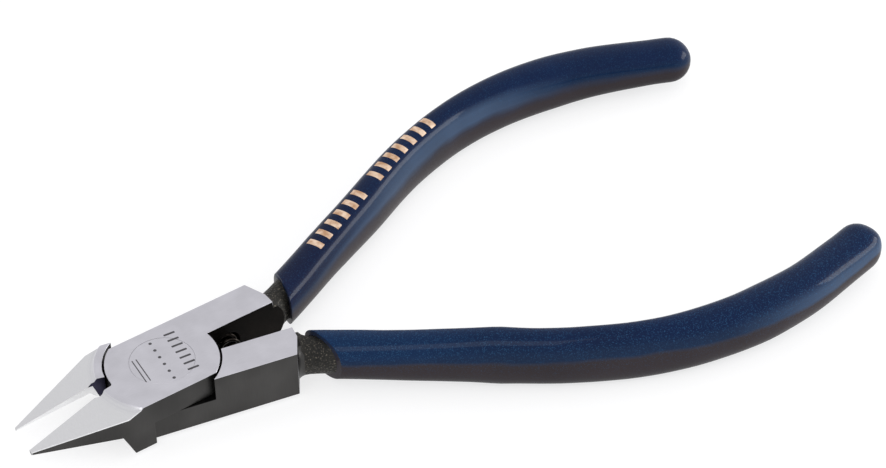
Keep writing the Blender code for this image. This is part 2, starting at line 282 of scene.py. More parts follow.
@dataclass(frozen=True)
class GroundSteel:
    """Surface-ground steel: fine straight scratches, faint blotches and a slight lavender cast."""

    name: str = "ground_steel"
    colour: Colour = (0.633, 0.624, 0.668)
    shade: float = 0.90
    roughness: tuple[float, float] = (0.30, 0.42)
    scratch_turn: float = 0.0
    scratch_depth: float = 0.0011 * MM

    def material(self) -> bpy.types.Material:
        """Make the finish."""
        sheet = NodeSheet(self.name)
        lines = sheet.speckle(1.0, 4.0, sheet.stretched((900, 14000, 14000), self.scratch_turn))
        cloud = sheet.speckle(260.0, 2.0)
        dark = tuple(self.shade * channel for channel in self.colour)
        clouded = sheet.ramp(cloud, ((0.35, dark), (0.70, self.colour)))
        streaked = sheet.ramp(lines, ((0.30, grey(0.86)), (0.72, grey(1.0))))
        sheet.join(sheet.blend(0.55, clouded, streaked, "MULTIPLY"), "Base Color")
        sheet.join(sheet.scaled(lines, *self.roughness, 0.3, 0.7), "Roughness")
        sheet.join(sheet.bump(lines, self.scratch_depth), "Normal")
        sheet.set(metallic=1.0)
        return sheet.material


@dataclass(frozen=True)
class FacetSteel:
    """The jaws' fine-ground facets, with faint round bands beside the joint's land."""

    name: str = "ground_facet"
    colour: Colour = (0.690, 0.690, 0.700)
    band: Colour = (0.560, 0.555, 0.590)
    land: float = 9.40 * MM
    land_edge: float = 0.20 * MM
    fade: float = 1.10 * MM

    def material(self) -> bpy.types.Material:
        """Make the finish."""
        sheet = NodeSheet(self.name)
        radius = sheet.radius()
        near = sheet.scaled(radius, 1.0, 0.0, self.land - self.land_edge, self.land + self.fade)
        rings = sheet.add("ShaderNodeTexWave", {
            "Vector": sheet.add("ShaderNodeCombineXYZ", {"X": radius}).outputs["Vector"],
            "Scale": 900.0, "Distortion": 0.8, "Detail": 2.0,
        }).outputs["Fac"]
        lines = sheet.speckle(1.0, 4.0, sheet.stretched((12000, 1500, 12000), 0.35))
        banded = sheet.blend(sheet.product(near, sheet.scaled(rings, 0.35, 0.85)), self.colour, self.band)
        streaked = sheet.ramp(lines, ((0.3, grey(0.90)), (0.7, grey(1.0))))
        sheet.join(sheet.blend(0.6, banded, streaked, "MULTIPLY"), "Base Color")
        sheet.join(sheet.scaled(lines, 0.30, 0.40, 0.3, 0.7), "Roughness")
        sheet.join(sheet.bump(lines, 0.0009 * MM), "Normal")
        sheet.set(metallic=1.0)
        return sheet.material


@dataclass(frozen=True)
class FlankSteel:
    """The head's ground sides, dark with painted shade: upright grinding lines and a slow change of tone along them.
    """

    name: str = "ground_flank"
    # Painted shade: dark colours for the shade and dark reflections on the sides.
    low: Colour = (0.042, 0.041, 0.040)
    high: Colour = (0.078, 0.076, 0.074)
    roughness: tuple[float, float] = (0.34, 0.50)
    line_depth: float = 0.0022 * MM

    def material(self) -> bpy.types.Material:
        """Make the finish."""
        sheet = NodeSheet(self.name)
        lines = sheet.speckle(1.0, 3.0, sheet.stretched((7000, 7000, 500)))
        tone = sheet.ramp(sheet.speckle(110.0, 2.0), ((0.30, self.low), (0.72, self.high)))
        streaked = sheet.ramp(lines, ((0.30, grey(0.80)), (0.72, grey(1.0))))
        sheet.join(sheet.blend(0.7, tone, streaked, "MULTIPLY"), "Base Color")
        sheet.join(sheet.scaled(lines, *self.roughness, 0.3, 0.7), "Roughness")
        sheet.join(sheet.bump(lines, self.line_depth), "Normal")
        sheet.set(metallic=1.0)
        return sheet.material


@dataclass(frozen=True)
class BlackOxide:
    """Forged scale left black: pebbled, dull, with light specks of wear and painted highlight on its high points."""

    name: str = "forged_scale"
    dark: Colour = (0.005, 0.005, 0.0045)
    light: Colour = (0.024, 0.022, 0.018)
    # Light brown specks: partly wear, partly painted highlight on the pebbles' high points.
    speck: Colour = (0.30, 0.26, 0.20)
    pebble: float = 2300.0
    depth: float = 0.260 * MM

    def material(self) -> bpy.types.Material:
        """Make the finish."""
        sheet = NodeSheet(self.name)
        cells = sheet.add("ShaderNodeTexVoronoi", {"Vector": sheet.coordinates, "Scale": self.pebble},
                          feature="SMOOTH_F1").outputs["Distance"]
        grain = sheet.speckle(self.pebble * 1.7, 4.0)
        broad = sheet.speckle(self.pebble / 9, 2.0)
        height = sheet.blend(0.45, cells, grain)
        tone = sheet.ramp(broad, ((0.30, self.dark), (0.75, self.light)))
        # Specks of wear and painted highlight on the grain's high points.
        wear_and_highlight = sheet.scaled(grain, 0.0, 0.45, 0.57, 0.72)
        sheet.join(sheet.blend(wear_and_highlight, tone, self.speck), "Base Color")
        sheet.join(sheet.scaled(grain, 0.62, 0.44, 0.35, 0.7), "Roughness")
        sheet.join(sheet.bump(height, self.depth), "Normal")
        sheet.set(metallic=0.3, specular_ior_level=0.35)
        return sheet.material


@dataclass(frozen=True)
class PaintedShadeSteel:
    """Unpolished inner faces, nearly black as painted shade, with broad tool marks."""

    name: str
    dark: Colour
    light: Colour
    roughness: tuple[float, float] = (0.42, 0.60)

    def material(self) -> bpy.types.Material:
        """Make the finish."""
        sheet = NodeSheet(self.name)
        broad = sheet.speckle(420.0, 3.0)
        fine = sheet.speckle(1.0, 3.0, sheet.stretched((2500, 2500, 9000)))
        sheet.join(sheet.ramp(broad, ((0.3, self.dark), (0.75, self.light))), "Base Color")
        sheet.join(sheet.scaled(fine, *self.roughness, 0.3, 0.7), "Roughness")
        sheet.join(sheet.bump(fine, 0.004 * MM), "Normal")
        sheet.set(metallic=1.0)
        return sheet.material


@dataclass(frozen=True)
class SpringWire:
    """Oiled dark spring wire with fine drawing lines, darkened further as painted shade."""

    name: str = "drawn_wire"
    # Dark wire colours, darkened further as painted shade for the gap between the rear blocks.
    dark: Colour = (0.010, 0.0085, 0.0075)
    light: Colour = (0.045, 0.038, 0.033)

    def material(self) -> bpy.types.Material:
        """Make the finish."""
        sheet = NodeSheet(self.name)
        lines = sheet.speckle(9000.0, 3.0)
        sheet.join(sheet.ramp(lines, ((0.3, self.dark), (0.7, self.light))), "Base Color")
        sheet.join(sheet.scaled(lines, 0.22, 0.38), "Roughness")
        sheet.join(sheet.bump(lines, 0.004 * MM), "Normal")
        sheet.set(metallic=1.0)
        return sheet.material


@dataclass(frozen=True)
class GlitterVinyl:
    """Dipped vinyl full of fine blue flakes under a glossy skin: navy above, grey-brown on its flanks, where the
    grey-brown is a painted reflection of the pale floor.

    The colour follows how far the surface faces upwards: from the navy belly up come the painted floor reflection,
    darker towards the bottom, a painted highlight line, a paler painted reflection on the shoulder and the navy
    crown.
    Near the mouth the crown takes a tint, painted light where it is paler than the crown and painted shade where it
    is darker, and between two fades along X the shoulder pales with a painted highlight, which also fades in at its
    lower edge and out at its upper edge. The flakes show most on upward faces, a painted glint.
    """

    name: str = "glitter_vinyl"
    crown: Colour = (0.0010, 0.0095, 0.0430)
    # Painted reflection: a paler blue on the shoulder below the crown.
    shoulder: Colour = (0.0045, 0.0170, 0.0500)
    # Painted highlight: a thin pale line between the shoulder and the painted floor reflection.
    highlight_line: Colour = (0.0200, 0.0240, 0.0450)
    # Painted reflection of the pale floor, grey-brown, on the flanks.
    flank: Colour = (0.0270, 0.0205, 0.0240)
    # The same painted floor reflection, darker towards the bottom.
    low_flank: Colour = (0.0140, 0.0115, 0.0135)
    belly: Colour = (0.0025, 0.0090, 0.0330)
    # Painted highlight on the shoulder.
    shoulder_highlight: Colour = (0.0400, 0.0680, 0.1250)
    # The crown's tint near the mouth: painted light when paler than the crown, painted shade when darker.
    mouth_tint: Colour = (0.0020, 0.0200, 0.0680)
    mouth_fade: tuple[float, float] = (0.026, 0.052)
    # Fades of the shoulder's painted highlight: in and out along X, then in height.
    shoulder_highlight_rise: tuple[float, float] = (0.072, 0.092)
    shoulder_highlight_fall: tuple[float, float] = (0.120, 0.130)
    shoulder_highlight_band: tuple[float, float, float, float] = (0.02, 0.12, 0.35, 0.70)
    # Heights where the painted floor reflection ends and the painted shoulder reflection starts.
    flank_ends: float = 0.520
    shoulder_starts: float = 0.560
    flake: Colour = (0.030, 0.110, 0.230)
    flake_share: float = 0.50
    flake_scale: float = 10500.0
    skin_depth: float = 0.010 * MM
    gloss_depth: float = 0.020 * MM

    def material(self) -> bpy.types.Material:
        """Make the finish."""
        sheet = NodeSheet(self.name)
        up = sheet.upness()
        drift = sheet.scaled(sheet.speckle(120.0, 2.0), -0.08, 0.08)
        level = sheet.add("ShaderNodeMath", {0: up, 1: drift}, operation="ADD").outputs["Value"]
        height = sheet.scaled(level, 0.0, 1.0, -1.0, 1.0)
        # Painted reflection by height: navy belly, floor reflection, highlight line, shoulder reflection, navy crown.
        body = sheet.ramp(height, (
            (0.06, self.belly), (0.22, self.low_flank), (0.44, self.flank), (self.flank_ends, self.flank),
            ((self.flank_ends + self.shoulder_starts) / 2, self.highlight_line), (self.shoulder_starts, self.shoulder),
            (0.80, self.crown),
        ))
        along = sheet.alongside()
        bottom, low, high, top = self.shoulder_highlight_band
        # Painted highlight on the shoulder, faded in and out along X and across the shoulder's height.
        shoulder_highlight = sheet.scaled(along, 0.0, 1.0, *self.shoulder_highlight_rise)
        for fade in (sheet.scaled(along, 1.0, 0.0, *self.shoulder_highlight_fall), sheet.scaled(level, 0.0, 1.0, bottom, low),
                     sheet.scaled(level, 1.0, 0.0, high, top)):
            shoulder_highlight = sheet.product(shoulder_highlight, fade)
        lit = sheet.blend(shoulder_highlight, body, self.shoulder_highlight)
        # Painted light and shade on the crown near the mouth.
        near_mouth = sheet.scaled(along, 0.8, 0.0, *self.mouth_fade)
        above = sheet.scaled(level, 0.0, 1.0, 0.15, 0.30)
        lit = sheet.blend(sheet.product(near_mouth, above), lit, self.mouth_tint)
        cloud = sheet.ramp(sheet.speckle(90.0, 3.0), ((0.3, grey(0.78)), (0.75, grey(1.12))))
        clouded = sheet.blend(0.8, lit, cloud, "MULTIPLY")
        cells = sheet.add("ShaderNodeTexVoronoi", {"Vector": sheet.coordinates, "Scale": self.flake_scale})
        turned = sheet.add("ShaderNodeSeparateColor", {"Color": cells.outputs["Color"]}).outputs["Red"]
        bright = sheet.scaled(turned, 0.0, self.flake_share, 0.80, 1.0)
        # Painted glint: the flakes fade where the surface turns down.
        facing = sheet.scaled(up, 0.18, 1.0, -0.1, 0.4)
        sheet.join(sheet.blend(sheet.product(bright, facing), clouded, self.flake), "Base Color")
        sheet.join(sheet.scaled(turned, 0.46, 0.30), "Roughness")
        sheet.join(sheet.bump(sheet.speckle(700.0, 2.0), self.skin_depth), "Normal")
        sheet.join(sheet.bump(sheet.speckle(240.0, 2.0), self.gloss_depth), "Coat Normal")
        sheet.set(specular_ior_level=0.05, coat_weight=0.16, coat_roughness=0.07)
        return sheet.material


@dataclass(frozen=True)
class GoldFoil:
    """Hot-stamped foil: pale copper gold, streaked across, thinner and darker in places."""

    name: str = "gold_foil"
    pale: Colour = (0.86, 0.66, 0.50)
    deep: Colour = (0.52, 0.30, 0.17)

    def material(self) -> bpy.types.Material:
        """Make the finish."""
        sheet = NodeSheet(self.name)
        streak = sheet.speckle(900.0, 3.0)
        sheet.join(sheet.ramp(streak, ((0.32, self.deep), (0.62, self.pale))), "Base Color")
        sheet.join(sheet.scaled(streak, 0.30, 0.48), "Roughness")
        sheet.join(sheet.bump(sheet.speckle(3500.0, 2.0), 0.006 * MM), "Normal")
        sheet.set(metallic=0.8)
        return sheet.material


@dataclass(frozen=True)
class EtchedMark:
    """The dull grey floor of an etched mark."""

    name: str = "etched_mark"
    dark: Colour = (0.050, 0.048, 0.052)
    light: Colour = (0.120, 0.116, 0.124)

    def material(self) -> bpy.types.Material:
        """Make the finish."""
        sheet = NodeSheet(self.name)
        frost = sheet.speckle(6000.0, 3.0)
        sheet.join(sheet.ramp(frost, ((0.3, self.dark), (0.7, self.light))), "Base Color")
        sheet.join(sheet.scaled(frost, 0.55, 0.75), "Roughness")
        sheet.join(sheet.bump(frost, 0.003 * MM), "Normal")
        sheet.set(metallic=0.6)
        return sheet.material


@dataclass(frozen=True)
class PaleFloor:
    """A plain matt white studio floor."""

    name: str = "studio_floor"
    colour: Colour = (0.36, 0.36, 0.363)

    def material(self) -> bpy.types.Material:
        """Make the finish."""
        sheet = NodeSheet(self.name)
        cloud = sheet.speckle(9.0, 2.0)
        dark = tuple(0.985 * channel for channel in self.colour)
        sheet.join(sheet.ramp(cloud, ((0.3, dark), (0.7, self.colour))), "Base Color")
        sheet.set(roughness=0.9, specular_ior_level=0.1, emission_color=(1.0, 1.0, 1.0), emission_strength=0.68)
        return sheet.material


def new_piece(name: str, bm: bmesh.types.BMesh, finishes: Sequence[bpy.types.Material],
              smooth: bool = True) -> bpy.types.Object:
    """Make a bmesh an object of the scene, in place in its mesh.

    Args:
        name: the piece's name.
        bm: its mesh, which is freed.
        finishes: its materials, in slot order.
        smooth: shade it smooth.

    Returns:
        The object.
    """
    mesh = bpy.data.meshes.new(name)
    for face in bm.faces:
        face.smooth = smooth
    bm.to_mesh(mesh)
    bm.free()
    for finish in finishes:
        mesh.materials.append(finish)
    obj = bpy.data.objects.new(name, mesh)
    bpy.context.scene.collection.objects.link(obj)
    LOG.info("%s: %d vertices, %d faces", name, len(mesh.vertices), len(mesh.polygons))
    return obj


def even_out_shading(obj: bpy.types.Object, sharp: float) -> None:
    """Keep large faces flat-looking beside narrow rounded edges.

    Args:
        obj: the piece.
        sharp: edges over this angle stay hard.
    """
    obj.data.set_sharp_from_angle(angle=sharp)
    weighted = obj.modifiers.new("even_shading", "WEIGHTED_NORMAL")
    weighted.keep_sharp = True
    weighted.weight = 50


def close_up(bm: bmesh.types.BMesh, distance: float = 1e-7) -> None:
    """Merge a new shape's doubles and turn its faces outwards.

    Args:
        bm: the shape.
        distance: how near two vertices are one.
    """
    bmesh.ops.remove_doubles(bm, verts=bm.verts, dist=distance)
    bmesh.ops.recalc_face_normals(bm, faces=bm.faces)


@dataclass
class Forging:
    """One half: its CAD solid with softened edges and each area in its own finish, some in painted shade."""

    side: Side
    finishes: dict[Zone, bpy.types.Material]
    edge_round: float = 0.085 * MM
    weld: float = 0.0015 * MM
    flat_angle: float = math.radians(0.4)
    hard_angle: float = math.radians(28.0)
    shade_angle: float = math.radians(38.0)
    blade_root: float = -9.40 * MM
    edge_root: float = -8.00 * MM
    throat: tuple[float, float] = (-11.40 * MM, -7.60 * MM)
    throat_half_width: float = 0.52 * MM
    rivet_seat: float = 5.00 * MM
    near: float = 0.10 * MM
    shortest: float = 0.02 * MM

    def build(self) -> bpy.types.Object:
        """Make the forging in place of its CAD node.

        Returns:
            The piece.
        """
        node = f"{self.side.body}_half"
        bm = bmesh.new()
        bm.from_mesh(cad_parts[node].data)
        bmesh.ops.remove_doubles(bm, verts=bm.verts, dist=self.weld)
        bmesh.ops.dissolve_limit(bm, angle_limit=self.flat_angle, verts=bm.verts, edges=bm.edges)
        for face in bm.faces:
            face.material_index = self.zone(face).value
        self.soften(bm)
        piece = new_piece(f"{self.side.body}_forging", bm, [self.finishes[zone] for zone in Zone])
        even_out_shading(piece, self.shade_angle)
        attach(piece, self.side.body)
        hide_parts(node)
        return piece

    def local(self, place: Vector) -> Vector:
        """A place or direction at rest, as it is in the closed plan of the upper half."""
        closed = self.side.opened.inverted() @ place
        return Vector((closed.x, closed.y * self.side.value, closed.z))

    def zone(self, face: bmesh.types.BMFace) -> Zone:
        """The finish that a face takes.

        Args:
            face: a face of the forging at rest.

        Returns:
            Its zone.
        """
        centre = self.local(face.calc_center_median())
        facing = self.local(face.normal)
        upright = abs(facing.z) < 0.5
        if upright and facing.y < -0.9 and abs(centre.y - INNER_WALL) < self.near and centre.x > 4 * MM:
            return Zone.INNER
        if centre.x > HEAD_REAR + self.near / 3:
            return Zone.TANG
        if upright and abs(centre.y) < self.throat_half_width and self.throat[0] < centre.x < self.throat[1]:
            return Zone.THROAT
        if facing.z > 0.95 and centre.z > HEAD_THICKNESS - self.near:
            return Zone.TOP
        if centre.x < 0 and math.hypot(centre.x, centre.y) > JOINT_RADIUS and facing.z > 0.15 and centre.z > MID:
            return Zone.FACET
        if abs(facing.z) > 0.9 and 0.5 * MM < centre.z < 7.0 * MM and centre.x > -9.0 * MM:
            return Zone.SHELF
        if facing.z < -0.9:
            return Zone.UNDERSIDE
        if centre.x < self.blade_root and facing.y > 0.3:
            return Zone.EDGE
        return Zone.FLANK

    def soften(self, bm: bmesh.types.BMesh) -> None:
        """Round the head's outer edges, but not the cutting edge or the forged tang.

        Args:
            bm: the forging.
        """
        chosen = []
        for edge in bm.edges:
            if len(edge.link_faces) != 2 or not edge.is_convex or edge.calc_face_angle() < self.hard_angle:
                continue
            middle = self.local((edge.verts[0].co + edge.verts[1].co) / 2)
            cutting = middle.x < self.edge_root and abs(middle.y) < 0.5 * MM
            seated = math.hypot(middle.x, middle.y) < self.rivet_seat
            forged = middle.x > HEAD_REAR + self.near
            if not (cutting or seated or forged or edge.calc_length() < self.shortest):
                chosen.append(edge)
        made = bmesh.ops.bevel(bm, geom=chosen, offset=self.edge_round, offset_type="OFFSET", segments=2,
                               profile=0.5, affect="EDGES", clamp_overlap=False, material=-1)
        bright = {Zone.TOP.value, Zone.FACET.value}
        for face in made["faces"]:
            beside = {other.material_index for edge in face.edges for other in edge.link_faces}
            if beside & bright:
                face.material_index = min(beside & bright)


@dataclass
class Rivet:
    """The flush rivet, with the fine groove between its head and the lap."""

    finish: bpy.types.Material
    head: float = 4.575 * MM
    shank: float = 3.30 * MM
    head_depth: float = 1.40 * MM
    lip: float = 0.30 * MM
    edge: float = 0.03 * MM
    steps: int = 96

    def build(self) -> bpy.types.Object:
        """Spin the rivet in place of its CAD node.

        Returns:
            The piece.
        """
        top = HEAD_THICKNESS
        profile = (
            (0.0, top), (self.head - 2 * self.edge, top), (self.head - self.edge * 0.6, top - self.edge * 0.3),
            (self.head, top - self.edge), (self.head, top - self.lip), (self.shank, top - self.head_depth),
            (self.shank, self.head_depth), (self.head, self.lip), (self.head, self.edge),
            (self.head - self.edge * 0.6, self.edge * 0.3), (self.head - 2 * self.edge, 0.0), (0.0, 0.0),
        )
        bm = bmesh.new()
        corners = [bm.verts.new((radius, 0.0, height)) for radius, height in profile]
        edges = [bm.edges.new(pair) for pair in zip(corners, corners[1:])]
        bmesh.ops.spin(bm, geom=[*corners, *edges], cent=(0, 0, 0), axis=(0, 0, 1), angle=2 * math.pi,
                       steps=self.steps, use_merge=True, use_duplicate=False)
        close_up(bm)
        piece = new_piece("flush_rivet", bm, [self.finish])
        even_out_shading(piece, math.radians(30.0))
        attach(piece, Side.UPPER.body)
        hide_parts("rivet")
        return piece


@dataclass
class ReturnSpring:
    """The coil spring between the rear blocks, with a dead turn at each end."""

    finish: bpy.types.Material
    radius: float = 1.25 * MM
    wire: float = 0.25 * MM
    turns: int = 8
    dead_pitch: float = 0.58 * MM
    steps: int = 28
    wire_points: int = 12

    def build(self) -> bpy.types.Object:
        """Wind the spring in place of its CAD node.

        Returns:
            The piece.
        """
        low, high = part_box("return_spring")
        x, reach = (low.x + high.x) / 2, high.y - self.wire
        self.turns_at = (0, 1, self.turns - 1, self.turns)
        self.heights = (-reach, self.dead_pitch - reach, reach - self.dead_pitch, reach)
        bm = bmesh.new()
        made = bmesh.ops.create_circle(bm, segments=self.wire_points, radius=self.wire, cap_ends=True)
        verts = made["verts"]
        bmesh.ops.transform(bm, verts=verts, matrix=self.station(0, x))
        ring = [edge for edge in bm.edges if edge.is_boundary]
        for step in range(1, self.turns * self.steps + 1):
            grown = bmesh.ops.extrude_edge_only(bm, edges=ring)["geom"]
            verts = [item for item in grown if isinstance(item, bmesh.types.BMVert)]
            ring = [item for item in grown if isinstance(item, bmesh.types.BMEdge) and item.is_boundary]
            move = self.station(step, x) @ self.station(step - 1, x).inverted()
            bmesh.ops.transform(bm, verts=verts, matrix=move)
        bmesh.ops.holes_fill(bm, edges=ring, sides=0)
        close_up(bm)
        piece = new_piece("coil_spring", bm, [self.finish])
        piece.data.set_sharp_from_angle(angle=math.radians(50.0))
        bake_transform(piece)
        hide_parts("return_spring")
        return piece

    def station(self, step: int, x: float) -> Matrix:
        """Where the wire's section stands after some steps of the winding.

        Args:
            step: steps from the first end.
            x: the coil's axis.

        Returns:
            The section's frame, with its normal along the wire.
        """
        turn = step / self.steps
        angle = 2 * math.pi * turn
        height = float(np.interp(turn, self.turns_at, self.heights))
        place = Matrix.Translation((x + self.radius * math.cos(angle), height, MID + self.radius * math.sin(angle)))
        return place @ Matrix.Rotation(-angle, 4, "Y")


class HandleLine:
    """The middle line of a handle in the closed plan, measured along itself from the head's rear face."""

    KNOTS = (
        (14.525, 1.260), (18.800, 2.900), (21.964, 4.116), (25.982, 5.911), (31.625, 8.594), (41.629, 13.052),
        (53.599, 18.494), (65.483, 21.775), (77.026, 22.200), (88.312, 20.096), (97.460, 16.564), (104.300, 13.554),
    )
    # Distance, half width and half height of the tang inside the coat
    TANG = (
        (1.6, 2.24, 2.80), (5.0, 2.22, 2.75), (12.4, 2.12, 2.95), (28.0, 2.03, 3.66), (48.0, 1.83, 3.92),
        (67.5, 2.78, 3.42), (84.0, 2.66, 2.58),
    )
    SQUARENESS = 2.4

    def __init__(self, side: Side) -> None:
        """Run a smooth line through the knots.

        Args:
            side: the half that the handle is on.
        """
        points = np.array([(x, side.value * y) for x, y in self.KNOTS]) * MM
        padded = np.vstack([2 * points[0] - points[1], points, 2 * points[-1] - points[-2]])
        fine = []
        for before, start, end, after in zip(padded, padded[1:], padded[2:], padded[3:]):
            for t in np.linspace(0.0, 1.0, 24, endpoint=False):
                bend = 2 * before - 5 * start + 4 * end - after
                twist = 3 * start - before - 3 * end + after
                fine.append(start + 0.5 * t * (end - before + t * (bend + t * twist)))
        self.points = np.array([*fine, points[-1]])
        steps = np.linalg.norm(np.diff(self.points, axis=0), axis=1)
        self.run = np.concatenate([[0.0], np.cumsum(steps)])
        self.run -= np.interp(HEAD_REAR, self.points[:, 0], self.run)
        self.end = float(self.run[-1])

    def place(self, distance: float) -> Vector:
        """The point at a distance along the line, at the head's middle height."""
        x, y = (float(np.interp(distance, self.run, self.points[:, axis])) for axis in (0, 1))
        return Vector((x, y, MID))

    def direction(self, distance: float) -> Vector:
        """The line's unit direction at a distance."""
        step = 0.8 * MM
        middle = min(distance, self.end - step)
        return (self.place(middle + step) - self.place(middle - step)).normalized()

    def sizes(self, distance: float) -> tuple[float, float]:
        """The tang's half width and half height at a distance."""
        table = np.array(self.TANG) * MM
        return tuple(float(np.interp(distance, table[:, 0], table[:, k])) for k in (1, 2))

    def frame(self, distance: float) -> Matrix:
        """A frame on the line: X across the handle, Y up and Z along it."""
        along = self.direction(distance)
        across = Vector((-along.y, along.x, 0.0))
        turn = Matrix((across, Vector((0.0, 0.0, 1.0)), along)).transposed().to_4x4()
        return Matrix.Translation(self.place(distance)) @ turn


@dataclass
class Grip:
    """The dipped coat on one handle, from its slanted mouth to its rounded end."""

    side: Side
    finish: bpy.types.Material
    mouth: float = 22.2 * MM
    slant: float = 0.28
    swell_at: float = 28.0 * MM
    swell: float = 0.0
    swell_reach: float = 2.6 * MM
    swell_sideways: float = 0.4
    mouth_middle: float = 4.2 * MM
    coat: float = 0.75 * MM
    fit: float = 0.05 * MM
    end_round: float = 3.6 * MM
    bore_end_round: float = 2.2 * MM
    points: int = 48
    stations: int = 64
    lumps: float = 0.035 * MM
    lumps_start: float = 6.0 * MM
    lip_round: float = 0.20 * MM
    line: HandleLine = field(init=False)
    surface: BVHTree = field(init=False)

    def __post_init__(self) -> None:
        """Lay out the handle's line."""
        self.line = HandleLine(self.side)

    def build(self) -> bpy.types.Object:
        """Dip the coat in place of its CAD node.

        Returns:
            The piece.
        """
        bm = bmesh.new()
        self.skin(bm, self.coat, 0.0, self.end_round)
        bmesh.ops.recalc_face_normals(bm, faces=bm.faces)
        self.make_uneven(bm)
        self.skin(bm, self.fit, self.coat - self.fit, self.bore_end_round)
        point, facing = self.mouth_plane()
        whole = [*bm.verts, *bm.edges, *bm.faces]
        bmesh.ops.bisect_plane(bm, geom=whole, plane_co=point, plane_no=facing, clear_inner=True)
        rims = [edge for edge in bm.edges if edge.is_boundary]
        bmesh.ops.bridge_loops(bm, edges=rims)
        bmesh.ops.recalc_face_normals(bm, faces=bm.faces)
        bmesh.ops.bevel(bm, geom=rims, offset=self.lip_round, offset_type="OFFSET", segments=4, profile=0.5,
                        affect="EDGES", clamp_overlap=True, material=-1)
        self.surface = BVHTree.FromBMesh(bm)
        bmesh.ops.transform(bm, verts=bm.verts, matrix=self.side.opened)
        piece = new_piece(f"{self.side.body}_vinyl_grip", bm, [self.finish])
        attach(piece, self.side.body)
        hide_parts(f"{self.side.body}_grip")
        return piece

    def skin(self, bm: bmesh.types.BMesh, grow: float, gap: float, end_round: float) -> None:
        """Sweep one skin of the coat along the handle, closed at its rounded end and open at the head.

        Args:
            bm: the coat, which gains the skin.
            grow: how far the skin lies outside the tang.
            gap: how far it ends before the grip's own end.
            end_round: the length of its rounded end.
        """
        known = set(bm.edges)
        ring = bmesh.ops.create_circle(bm, segments=self.points, radius=1.0)["verts"]
        self.square_off(ring)
        edges = [edge for edge in bm.edges if edge not in known]
        stop = self.line.end - gap - end_round
        sections = [(distance, 1.0) for distance in np.linspace(1.0 * MM, stop, self.stations)]
        for turn in np.radians((12, 24, 36, 47, 57, 66, 74, 80, 85)):
            sections.append((stop + end_round * math.sin(turn), math.cos(turn)))
        current = self.move(bm, ring, Matrix.Identity(4), *sections[0], grow)
        for distance, shrink in sections[1:]:
            grown = bmesh.ops.extrude_edge_only(bm, edges=edges)["geom"]
            ring = [item for item in grown if isinstance(item, bmesh.types.BMVert)]
            edges = [item for item in grown if isinstance(item, bmesh.types.BMEdge) and item.is_boundary]
            current = self.move(bm, ring, current, distance, shrink, grow)
        bmesh.ops.pointmerge(bm, verts=ring, merge_co=self.line.place(self.line.end) - self.end_gap(gap))

    def end_gap(self, gap: float) -> Vector:
        """The step back from the line's end to a skin's own end."""
        return self.line.direction(self.line.end) * (gap + self.fit)

    def square_off(self, ring: Iterable[bmesh.types.BMVert]) -> None:
        """Press a unit circle to the handle's squarer section.

        Args:
            ring: the circle.
        """
        power = 2 / HandleLine.SQUARENESS
        for vert in ring:
            vert.co.x = math.copysign(abs(vert.co.x) ** power, vert.co.x)
            vert.co.y = math.copysign(abs(vert.co.y) ** power, vert.co.y)

    def section(self, distance: float, shrink: float, grow: float) -> Matrix:
        """The unit section's place, turn and size at a distance along the handle."""
        width, height = self.line.sizes(distance)
        outer = grow == self.coat
        swell = self.swell * math.exp(-(((distance - self.swell_at) / self.swell_reach) ** 2)) if outer else 0.0
        wide, high = width + grow + self.swell_sideways * swell, height + grow + swell
        scale = (shrink * wide, shrink * high, 1.0, 1.0)
        return self.line.frame(distance) @ Matrix.Diagonal(scale)

    def move(self, bm: bmesh.types.BMesh, ring: Sequence[bmesh.types.BMVert], current: Matrix, distance: float,
             shrink: float, grow: float) -> Matrix:
        """Move the newest ring on from its section to the next.

        Args:
            bm: the coat.
            ring: the newest ring.
            current: the section that it has.
            distance: the next section's distance.
            shrink: the next section's share of full size.
            grow: how far the skin lies outside the tang.

        Returns:
            The next section.
        """
        following = self.section(distance, shrink, grow)
        bmesh.ops.transform(bm, verts=ring, matrix=following @ current.inverted())
        return following

    def mouth_plane(self) -> tuple[Vector, Vector]:
        """A point of the mouth in the closed plan, and the direction away from the head."""
        side = self.side.value
        point = Vector((self.mouth, side * self.mouth_middle, 0.0))
        return point, Vector((1.0, -side * self.slant, 0.0)).normalized()

    def make_uneven(self, bm: bmesh.types.BMesh) -> None:
        """Sink slight hollows into the dipped skin, clear of the mouth.

        Args:
            bm: the coat's outer skin.
        """
        point, facing = self.mouth_plane()
        for vert in bm.verts:
            fade = min(1.0, max(0.0, (vert.co - point).dot(facing) / self.lumps_start))
            lump = noise.noise(vert.co * 130.0) + 0.5 * noise.noise(vert.co * 330.0)
            vert.co -= vert.normal * (self.lumps * fade * max(0.0, 1.0 + lump))


